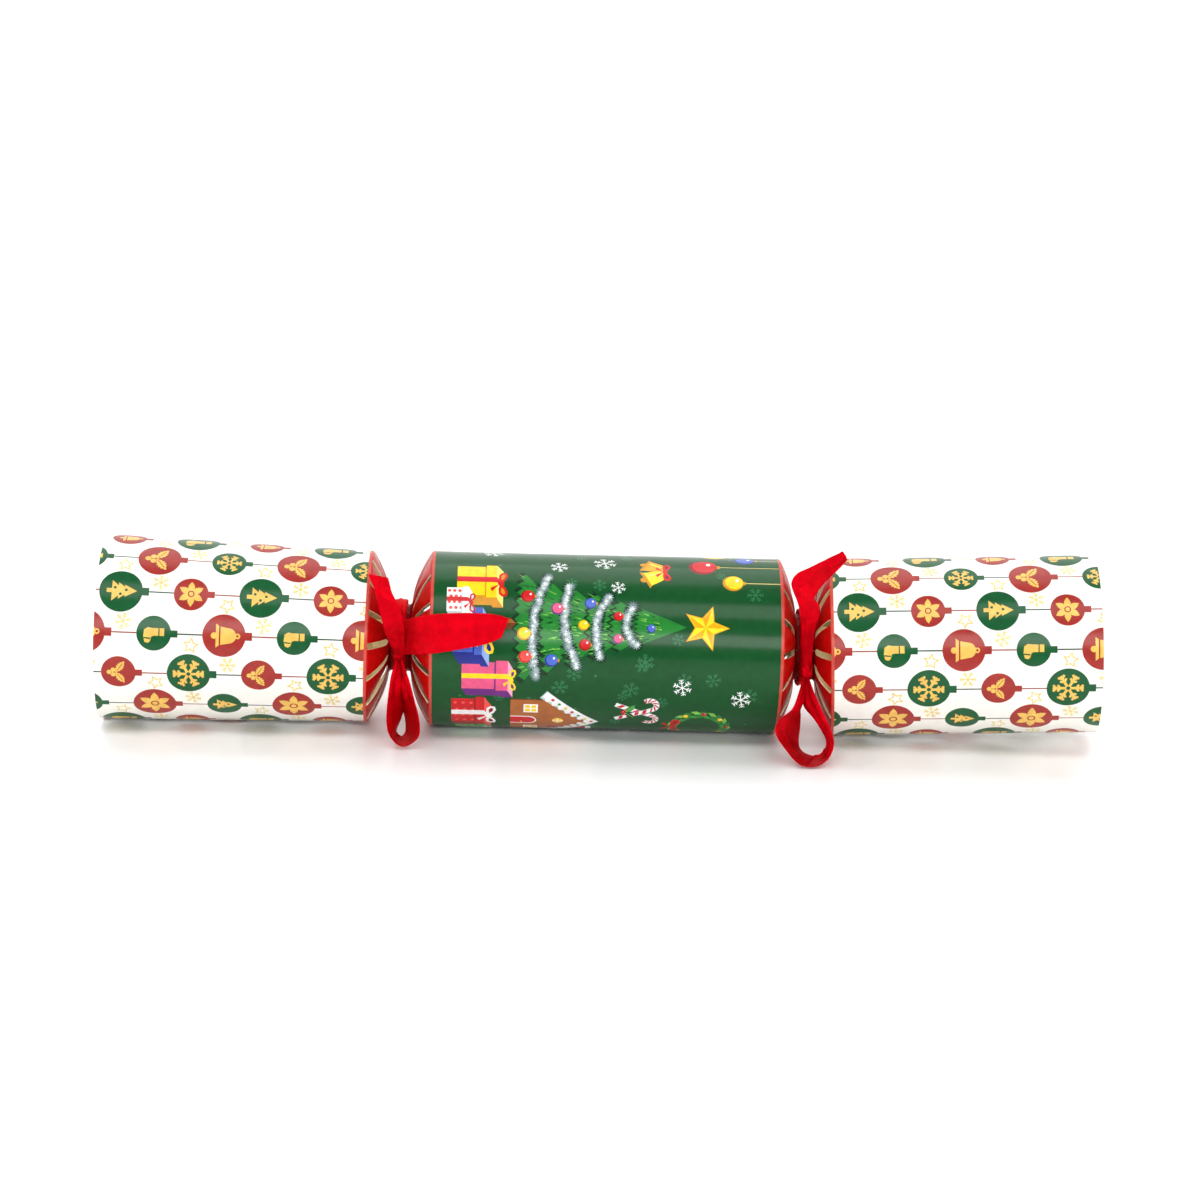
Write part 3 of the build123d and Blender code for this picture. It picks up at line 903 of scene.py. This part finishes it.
barrel = printed_tube("printed_barrel", centre, 0.0, CENTRE_LENGTH, CENTRE_RADIUS, CENTRE_RADIUS,
                      barrel_print(tau * CENTRE_RADIUS), "barrel", False)
attach(barrel, "centre", "barrel_card", "centre_tube")
for side, tube, half, fold, mouth in (
    ("left", left_end, LEFT_HALF, LEFT_FOLD_RADIUS, LEFT_MOUTH_RADIUS),
    ("right", right_end, RIGHT_HALF, RIGHT_RADIUS, RIGHT_RADIUS),
):
    end = printed_tube(f"{side}_printed_end", tube, half, END_LENGTH, fold, mouth,
                       end_print(tau * (fold + mouth) / 2), "white", side == "left")
    attach(end, f"{side}_end", "end_card", f"{side}_end_tube")


# Chokes: sixteen strips fold in from each rim and are drawn together at the waist
SLIT_WIDTH = 1.9
CLOSED_SLIT = 0.12
ACROSS = 8
DOME_STEPS = 14
DOME_BULGE = 1.2
RING_ROWS = 2
WAIST_ROWS = 2
# Kinds of choke face: the fold kind is painted highlight and the waist kind painted shade.
OUTSIDE, INSIDE, EDGE, FOLD_HIGHLIGHT, WAIST_SHADE = range(5)
CHOKE_MATERIALS = [CHOKE_RED, KRAFT_PLUS_PAINTED_LIGHT, CARD_EDGE, FOLD_PAINTED_HIGHLIGHT, WAIST_PAINTED_SHADE]


def strip_profile(rim_radius, rim_distance):
    """(radius, distance, slit width) from a tube's rim, over the fold and the dome, to the waist."""
    root = rim_distance - FOLD_MARGIN
    drop = rim_radius - WAIST_RADIUS
    depth = root - WAIST_LAND
    slope = hypot(drop, depth)
    rows = [(rim_radius - 0.03, rim_distance, 0.0), (rim_radius - 0.02, root + 0.4, 0.0)]
    for share in [0.0, 0.02] + [step / DOME_STEPS for step in range(1, DOME_STEPS + 1)]:
        push = DOME_BULGE * 4 * share * (1 - share)
        radius = rim_radius - drop * share + push * depth / slope
        along = root - depth * share - push * drop / slope
        slit = SLIT_WIDTH * min(1.0, (1 - share) / 0.14) + CLOSED_SLIT
        if share == 0:
            radius -= 0.12
            along += 0.12
            slit = 0.0
        rows.append((radius, along, slit))
    rows.append((WAIST_RADIUS - 0.7, WAIST_LAND - 0.6, CLOSED_SLIT))
    rows.append((WAIST_RADIUS - 0.5, WAIST_GAP, CLOSED_SLIT))
    return rows


def choke(name, tube, rim_radius, rim_distance, phase, seed):
    """Half of a choke as one piece of card with slits."""
    rng = random.Random(seed)
    profile = strip_profile(rim_radius, rim_distance)
    pitch = tau / STRIPS
    points, faces, kinds = [], [], []
    table = {}
    lift = [rng.uniform(-0.1, 0.3) for _ in range(STRIPS)]
    twist = [rng.uniform(-0.3, 0.3) for _ in range(STRIPS)]

    def vertex(layer, row, strip, column):
        if row <= RING_ROWS and column == ACROSS:
            strip, column = (strip + 1) % STRIPS, 0
        mark = (layer, row, strip, column)
        if mark not in table:
            radius, along, slit = profile[row]
            spread = 2 * column / ACROSS - 1
            reach = max(0, row - RING_ROWS) / (len(profile) - RING_ROWS)
            middle = radians(phase) + (strip + 0.5) * pitch
            angle = spread * (pitch / 2 - slit / 2 / radius)
            flat = min(1.0, reach * 3)
            radius *= 1 - flat * (1 - cos(pitch / 2) / cos(angle))
            belly = sin(pi * reach)
            along += belly * (lift[strip] + twist[strip] * spread + 0.45 * spread * spread)
            before = profile[max(row - 1, 0)]
            after = profile[min(row + 1, len(profile) - 1)]
            run = Vector((after[0] - before[0], after[1] - before[1])).normalized()
            inward = Vector((run.y, -run.x)) * CARD * 0.9 * layer
            if inward.x > 0 or (abs(inward.x) < 1e-6 and inward.y < 0):
                inward.negate()
            table[mark] = len(points)
            points.append(tube.at(along + inward.y, tube.spoke(middle + angle), radius + inward.x))
        return table[mark]

    def add(kind, flip, *places):
        corners = [vertex(*place) for place in places]
        faces.append(tuple(corners[::-1] if flip else corners))
        kinds.append(kind)

    last = len(profile) - 1
    for s in range(STRIPS):
        for row in range(last):
            # The rows next to the waist, their slit edges and the waist end are given the dark red of
            # painted shade.
            tied = row >= last - WAIST_ROWS
            # The rows at the rim fold take the lighter coral of the painted highlight.
            kind = FOLD_HIGHLIGHT if row < RING_ROWS else WAIST_SHADE if tied else OUTSIDE
            for c in range(ACROSS):
                for n in (0, 1):
                    add(INSIDE if n else kind, n == 1,
                        (n, row, s, c), (n, row, s, c + 1), (n, row + 1, s, c + 1), (n, row + 1, s, c))
            if row >= RING_ROWS:
                for c in (0, ACROSS):
                    add(WAIST_SHADE if tied else EDGE, c == ACROSS,
                        (0, row, s, c), (0, row + 1, s, c), (1, row + 1, s, c), (1, row, s, c))
        for c in range(ACROSS):
            for row, kind in ((0, EDGE), (last, WAIST_SHADE)):
                add(kind, row == 0, (0, row, s, c), (0, row, s, c + 1), (1, row, s, c + 1), (1, row, s, c))
    piece = build(name, points, faces, CHOKE_MATERIALS, kinds)
    piece.data.set_sharp_from_angle(angle=radians(50))
    return piece


for side, inner, outer, fold, half, inner_phase, outer_phase, seed in (
    ("left", left_inner, left_end, LEFT_FOLD_RADIUS, LEFT_HALF, 6.5, 9.8, 3),
    ("right", right_inner, right_end, RIGHT_RADIUS, RIGHT_HALF, 10.5, 12.7, 4),
):
    piece = choke(f"{side}_inner_choke", inner, CENTRE_RADIUS, half, inner_phase, seed)
    attach(piece, "centre", "choke_card", f"{side}_inner_strips")
    piece = choke(f"{side}_outer_choke", outer, fold, half, outer_phase, seed + 2)
    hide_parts(f"{side}_outer_strips")
    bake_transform(piece)


# Ribbons and other thin sheets
RIBBON_WIDTH = 12.0
RIBBON_THICKNESS = 0.22
RIBBON_SHOWN = 0.9 * RIBBON_WIDTH
TUCK_SHARE = 0.94
TUCKED_PLEAT = 0.05
OPEN_PLEAT = 0.12
RIPPLE = 0.12
FOLD_RUN = 0.8
FOLD_GAP = 0.65
FLOOR_CLEARANCE = 0.35
WRAP_RADIUS = 11.66
WRAP_HALF = 1.9
WRAP_LENGTH = tau * 11.8
CURVE_STEPS = 24


def thin_sheet(name, points, rows, across, material, flip=False, closed=False):
    """Mesh of a sheet from the points of its two faces, row by row, closed along every edge."""
    faces = []

    def add(turned, *places):
        quad = [(layer * rows + i % rows) * (across + 1) + j for layer, i, j in places]
        faces.append(quad[:1] + quad[:0:-1] if turned != flip else quad)

    for i in range(rows if closed else rows - 1):
        for j in range(across):
            for n in (0, 1):
                add(n == 1, (n, i, j), (n, i + 1, j), (n, i + 1, j + 1), (n, i, j + 1))
        for j in (0, across):
            add(j == across, (0, i, j), (1, i, j), (1, i + 1, j), (0, i + 1, j))
    for i in () if closed else (0, rows - 1):
        for j in range(across):
            add(i > 0, (0, i, j), (0, i, j + 1), (1, i, j + 1), (1, i, j))
    return build(name, points, faces, [material])


def tie(piece, marks, sharp):
    """A finished stretch of ribbon: its flat coordinates, crisp folds and the solid it stands for."""
    piece.data.set_sharp_from_angle(angle=radians(sharp))
    layer = piece.data.uv_layers.new(name="flat")
    for loop in piece.data.loops:
        layer.data[loop.index].uv = [value * MM for value in marks[loop.vertex_index]]
    attach(piece, "centre", "ribbon", piece.name.replace("_", "_ribbon_", 1))


def through(points):
    """A smooth line through a row of points."""
    data = [Vector(p) for p in points]
    data = [data[0] * 2 - data[1]] + data + [data[-1] * 2 - data[-2]]
    fine = []
    for i in range(1, len(data) - 2):
        a, b, c, d = data[i - 1:i + 3]
        for step in range(CURVE_STEPS):
            t = step / CURVE_STEPS
            fine.append(0.5 * (2 * b + (c - a) * t + (2 * a - 5 * b + 4 * c - d) * t * t
                               + (3 * b - a - 3 * c + d) * t * t * t))
    return fine + [data[-2]]


def resample(edge_a, edge_b, count):
    """Both edges of a band, smoothed and stepped evenly along its middle."""
    fine_a, fine_b = through(edge_a), through(edge_b)
    middle = [(a + b) / 2 for a, b in zip(fine_a, fine_b)]
    run = [0.0]
    for a, b in zip(middle, middle[1:]):
        run.append(run[-1] + (b - a).length)
    rows = []
    at = 0
    for i in range(count):
        want = run[-1] * i / (count - 1)
        while at < len(run) - 2 and run[at + 1] < want:
            at += 1
        share = (want - run[at]) / max(run[at + 1] - run[at], 1e-9)
        rows.append((fine_a[at].lerp(fine_a[at + 1], share), fine_b[at].lerp(fine_b[at + 1], share)))
    return rows, run[-1]


def ribbon(name, rests_on, edge_a, edge_b, cup, pleats, seed, tuck=False, along=64, across=40):
    """A ribbon between two edges. What width is to spare is folded under or pleated."""
    rng = random.Random(seed)
    rows, length = resample(edge_a, edge_b, along)
    folds = [(rng.uniform(1.5, 3.5), rng.uniform(0, tau), rng.uniform(0.6, 1.2)) for _ in range(3)]
    grid = []
    for i, (a, b) in enumerate(rows):
        share = i / (along - 1)
        before, after = rows[max(i - 1, 0)], rows[min(i + 1, along - 1)]
        forward = (after[0] + after[1] - before[0] - before[1]).normalized()
        lie = b - a
        seen = lie.length
        lie.normalize()
        normal = forward.cross(lie).normalized()
        behind = normal if normal.y > 0 else -normal
        under = min(max(RIBBON_SHOWN - seen, 0.0), TUCK_SHARE * seen) if tuck else 0.0
        spare = sqrt(max(0.0, RIBBON_SHOWN ** 2 - (seen + under) ** 2)) / (4 * pleats)
        spare = min(spare, (TUCKED_PLEAT if tuck else OPEN_PLEAT) * seen)
        line = []
        for j in range(across + 1):
            s = j / across
            reach = s * (seen + under)
            turn = min(max((reach - seen) / FOLD_RUN + 0.5, 0.0), 1.0)
            spot = a + lie * (reach if reach <= seen else 2 * seen - reach) + behind * FOLD_GAP * turn
            lift = spare * sin(tau * pleats * s)
            for waves, phase, weight in folds:
                lift += RIPPLE * weight * sin(tau * waves * share + phase + 2.2 * s)
            spot = spot + normal * lift - behind * cup * (1 - (2 * s - 1) ** 2)
            spot.z = max(spot.z, FLOOR_CLEARANCE)
            line.append(spot)
        grid.append(line)
    points, marks = [], []
    for layer in (0, 1):
        for i in range(along):
            for j in range(across + 1):
                before, after = grid[max(i - 1, 0)][j], grid[min(i + 1, along - 1)][j]
                left, right = grid[i][max(j - 1, 0)], grid[i][min(j + 1, across)]
                normal = (after - before).cross(right - left).normalized()
                points.append(grid[i][j] + normal * RIBBON_THICKNESS * (0.5 - layer))
                marks.append((length * i / (along - 1), RIBBON_WIDTH * j / across))
    piece = thin_sheet(name, points, along, across, SATIN)
    tie(piece, marks, 60)


def wrap(name, neck, seed):
    """The turn round a waist: the ribbon folded in three, with soft ridges outside."""
    rng = random.Random(seed)
    around, across = 120, 48
    phases = [rng.uniform(0, tau) for _ in range(4)]
    points, marks = [], []
    for layer in (0, 1):
        for i in range(around):
            angle = tau * i / around
            half = WRAP_HALF + 0.1 * sin(3 * angle + phases[3])
            for j in range(across + 1):
                s = 3 * j / across
                third = min(2, int(s))
                u = s - third
                x = half * (2 * u - 1, 1 - 1.9 * u, 1.76 * u - 0.9)[third]
                drop = sin(pi / 2 * min(1.0, 3 * u))
                ridge = 0.16 * sin(4.6 * x / half + 1.2 * sin(angle + phases[0]) + phases[1])
                ridge += 0.09 * sin(9 * x / half + 2 * angle + phases[2])
                edge = 1 - abs(x / half) ** 6
                radius = WRAP_RADIUS + ((0.34 + ridge) * edge, -0.24 * drop, -0.24 - 0.2 * drop)[third]
                radius += RIBBON_THICKNESS * 0.3 * (1 - 2 * layer) * (1, -1, 1)[third]
                points.append((neck + x, -radius * cos(angle), AXIS_HEIGHT + radius * sin(angle)))
                marks.append((WRAP_LENGTH * i / around, RIBBON_WIDTH * s / 3))
    piece = thin_sheet(name, points, around, across, SATIN, flip=True, closed=True)
    tie(piece, marks, 70)


def knot(name, place, seed):
    """A tight knot: a rounded lump with folds pulled round it."""
    rings, around = 28, 48
    size = (4.4, 4.6, 7.2)
    phase = random.Random(seed).uniform(0, tau)
    points, faces = [], []
    for i in range(rings + 1):
        tilt = pi * i / rings - pi / 2
        for j in range(around):
            angle = tau * j / around
            fold = 1 + 0.07 * sin(5 * angle + 3 * sin(tilt * 2) + phase) * cos(tilt)
            x = copysign(abs(cos(angle) * cos(tilt)) ** 0.8, cos(angle)) * fold
            y = copysign(abs(sin(angle) * cos(tilt)) ** 0.8, sin(angle)) * fold
            z = copysign(abs(sin(tilt)) ** 0.85, tilt)
            waist = 1 - 0.14 * exp(-(z / 0.3) ** 2)
            points.append([p + share * s / 2 for p, share, s in zip(place, (x * waist, y * waist, z), size)])
    for i in range(rings):
        for j in range(around):
            k = (j + 1) % around
            faces.append((i * around + j, i * around + k, (i + 1) * around + k, (i + 1) * around + j))
    piece = build(name, points, faces, [SATIN])
    attach(piece, "centre", "ribbon", name.replace("_", "_ribbon_", 1))


wrap("left_wrap", LEFT_NECK, 11)
wrap("right_wrap", RIGHT_NECK, 12)
knot("left_knot", (LEFT_NECK, -14.9, 27.6), 13)
knot("right_knot", (RIGHT_NECK, -14.9, 24.6), 14)
ribbon(
    "left_long_tail", ["printed_barrel"],
    [(-62.5, -18.0, 28.0), (-60.4, -20.9, 28.1), (-51.0, -28.6, 31.2), (-39.0, -29.3, 33.9),
     (-34.8, -29.2, 35.2), (-31.9, -28.9, 36.6)],
    [(-62.6, -18.0, 37.6), (-60.6, -20.0, 39.1), (-53.0, -25.2, 42.2), (-42.5, -26.4, 43.3),
     (-34.6, -26.4, 43.2), (-29.8, -26.3, 42.0)],
    cup=0.4, pleats=4, seed=21, tuck=True,
)
ribbon(
    "left_short_tail", ["left_knot"],
    [(-64.0, -19.0, 27.2), (-65.6, -21.8, 31.5), (-67.2, -24.8, 36.5), (-68.5, -26.6, 42.5),
     (-70.2, -26.0, 49.4), (-72.4, -23.2, 53.8)],
    [(-61.4, -19.0, 27.2), (-61.2, -21.2, 32.4), (-61.4, -23.6, 37.9), (-62.6, -25.2, 43.7),
     (-65.0, -24.8, 48.5), (-66.4, -22.2, 52.4)],
    cup=0.3, pleats=3, seed=22, tuck=True,
)
ribbon(
    "left_loop", ["left_knot"],
    [(-63.9, -18.2, 25.6), (-65.3, -21.5, 21.5), (-65.8, -25.0, 14.5), (-66.3, -27.4, 8.3),
     (-65.5, -28.4, 4.7), (-63.3, -28.8, 2.2), (-60.9, -28.8, 1.3), (-58.2, -28.6, 2.6),
     (-56.3, -28.2, 5.2), (-56.6, -26.6, 10.1), (-58.0, -24.4, 14.8), (-60.0, -21.0, 21.0),
     (-61.8, -18.2, 25.6)],
    [(-63.3, -14.4, 24.3), (-61.6, -14.8, 18.6), (-61.0, -15.4, 12.6), (-62.0, -16.0, 6.6),
     (-63.2, -16.8, 3.0), (-63.2, -17.3, 1.6), (-62.4, -17.5, 1.0), (-61.5, -17.3, 1.4),
     (-60.8, -16.8, 2.6), (-60.9, -16.0, 5.4), (-62.0, -15.4, 9.8), (-62.6, -14.8, 17.1),
     (-62.3, -14.2, 24.3)],
    cup=0.2, pleats=2, seed=23, along=90,
)
ribbon(
    "right_tail", ["right_knot"],
    [(60.4, -18.8, 27.2), (59.7, -20.0, 33.0), (58.9, -21.6, 40.7), (57.6, -22.8, 47.1),
     (55.5, -23.4, 52.2), (55.2, -23.2, 54.8), (56.8, -22.4, 57.1), (60.4, -20.8, 58.5),
     (65.7, -18.0, 60.3), (71.0, -15.4, 62.4)],
    [(62.8, -18.8, 27.2), (63.0, -20.0, 33.0), (63.2, -21.4, 39.2), (64.3, -21.8, 43.4),
     (64.1, -21.6, 46.8), (62.6, -21.0, 48.5), (63.4, -20.4, 50.6), (65.5, -19.0, 52.9),
     (68.5, -17.0, 55.5), (72.5, -14.4, 59.5)],
    cup=0.2, pleats=3, seed=24, tuck=True, along=90,
)
ribbon(
    "right_loop", ["right_knot"],
    [(60.6, -18.2, 22.6), (58.8, -23.0, 19.5), (56.5, -27.5, 15.8), (52.5, -32.0, 13.4),
     (51.7, -34.6, 10.1), (54.8, -36.6, 5.9), (58.6, -37.6, 2.0), (63.0, -37.8, 0.9),
     (66.7, -37.0, 2.2), (68.8, -35.6, 4.5), (69.5, -34.0, 7.1), (69.0, -31.6, 9.8),
     (66.5, -27.6, 14.4), (65.2, -25.4, 16.8), (63.8, -22.6, 19.4), (62.5, -18.2, 22.6)],
    [(61.2, -14.8, 21.6), (61.0, -17.4, 17.7), (60.6, -19.4, 13.7), (60.5, -21.8, 8.8),
     (59.9, -24.4, 4.0), (60.6, -25.8, 1.8), (63.1, -26.8, 0.7), (65.7, -27.2, 0.6),
     (67.3, -26.4, 1.8), (67.9, -25.4, 3.9), (67.5, -24.2, 6.0), (65.6, -22.6, 8.4),
     (63.6, -20.8, 10.8), (61.0, -18.2, 13.6), (60.6, -16.4, 17.6), (61.8, -14.8, 21.6)],
    cup=0.15, pleats=2, seed=25, along=110,
)


# What is inside
CROWN_TURNS = 3.0
CROWN_START = -45.0
CROWN_LENGTH = 52.0
CROWN_CENTRE = (0.35, 8.05)
CROWN_CORE = 3.0
CROWN_PITCH = 1.42
CROWN_POINTS = 9
POINT_DEPTH = 6.0


def rolled_crown():
    """Tissue crown, rolled up, with its points at one end."""
    rng = random.Random(31)
    turns, rows = 150, 40
    crinkle = [[rng.uniform(-1, 1) for _ in range(rows // 4 + 2)] for _ in range(turns // 5 + 2)]
    points = []
    for layer in (0, 1):
        for i in range(turns + 1):
            angle = tau * CROWN_TURNS * i / turns
            tip = POINT_DEPTH * abs((i / turns * CROWN_POINTS) % 1 - 0.5) * 2
            for j in range(rows + 1):
                p, q = i // 5, j // 4
                f, g = i / 5 - p, j / 4 - q
                rough = (crinkle[p][q] * (1 - f) * (1 - g) + crinkle[p + 1][q] * f * (1 - g)
                         + crinkle[p][q + 1] * (1 - f) * g + crinkle[p + 1][q + 1] * f * g)
                radius = CROWN_CORE + CROWN_PITCH * angle / tau + 0.22 * rough - 0.12 * layer
                x = CROWN_START + 0.6 + (CROWN_LENGTH - 1.2 - tip) * j / rows
                points.append(Vector((x, *polar(*CROWN_CENTRE, radius, angle))))
    piece = thin_sheet("rolled_crown", points, turns + 1, rows, TISSUE, flip=True)
    attach(piece, "crown", "tissue", "paper_crown")


rolled_crown()
CONTENTS = {
    "left_snap_strip": SNAP_CARD,
    "right_snap_strip": SNAP_CARD,
    "snap_sleeve": SNAP_PAPER,
    "snap_charge": CHARGE,
    "snap_grit": GRIT,
    "motto_slip": MOTTO,
    "top_disc": TOP_RED,
    "top_spindle": TOP_YELLOW,
}
for node, material in CONTENTS.items():
    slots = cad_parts[node].data.materials
    slots.clear()
    slots.append(material)


# Floor and light
WHITE = (1, 1, 1, 1)


def larger(tree, a, b):
    """The larger of two outputs."""
    node = tree.nodes.new("ShaderNodeMath")
    node.operation = "MAXIMUM"
    tree.links.new(a, node.inputs[0])
    tree.links.new(b, node.inputs[1])
    return node.outputs["Value"]


def add_floor():
    """A wide pale sweep, seen as white, which gives less light back beyond the front of the set."""
    surface = Surface("floor_white", 0.3, Specular_IOR_Level=0.3, Emission_Color=WHITE)
    depth = add_node(surface.tree, "SeparateXYZ", "Y", Vector=surface.place.outputs["Object"])
    looked_at = add_node(surface.tree, "LightPath", "Is Camera Ray")
    near = surface.span(depth, From_Min=-0.9, From_Max=-0.35)
    surface.tones(larger(surface.tree, near, looked_at), (60, 60, 60), (252, 252, 252), 0.0, 1.0)
    surface.bump(surface.noise(40, 3), 0.00002)
    back = surface.span(depth, From_Min=0.4, From_Max=3.0)
    front = surface.span(depth, From_Min=-0.5, From_Max=-2.5, To_Max=looked_at)
    put(surface.shader, Emission_Strength=larger(surface.tree, back, front))
    points = [(-9000, -6000, 0), (9000, -6000, 0), (9000, 14000, 0), (-9000, 14000, 0)]
    build("floor", points, [(0, 1, 2, 3)], [surface.material])


def add_light(name, elevation, azimuth, distance, size, power):
    """A soft box at a bearing from the object, in degrees: 0 in front, 180 behind."""
    data = bpy.data.lights.new(name, "AREA")
    data.shape = "RECTANGLE"
    data.size, data.size_y = size
    data.energy = power
    lamp = bpy.data.objects.new(name, data)
    scene.collection.objects.link(lamp)
    away = bearing(radians(elevation), radians(azimuth))
    lamp.location = away * distance + Vector((0, 0, 0.027))
    lamp.rotation_euler = (-away).to_track_quat("-Z", "Y").to_euler()


def add_world():
    """A pale room that lights the set from behind more than from the front."""
    world = bpy.data.worlds.new("studio")
    world.use_nodes = True
    tree = world.node_tree
    depth = add_node(tree, "SeparateXYZ", "Y", Vector=add_node(tree, "TexCoord", "Generated"))
    room = add_node(tree, "MapRange", "Result", Value=depth, From_Min=-0.15, To_Min=0.07, To_Max=1.4)
    looked_at = add_node(tree, "LightPath", "Is Camera Ray")
    put(tree.nodes["Background"], Strength=larger(tree, room, looked_at), Color=WHITE)
    scene.world = world


add_floor()
add_light("front_strip", 22, 0, 1.7, (2.6, 0.44), 20)
add_light("high_strip", 62, 0, 1.5, (2.2, 0.5), 11)
add_light("back_box", 62, 180, 1.6, (2.4, 1.0), 12)
add_light("left_box", 14, -86, 1.3, (0.9, 0.9), 7)
add_light("right_box", 14, 86, 1.3, (0.9, 0.9), 7)
add_world()
scene.view_settings.view_transform = "Standard"
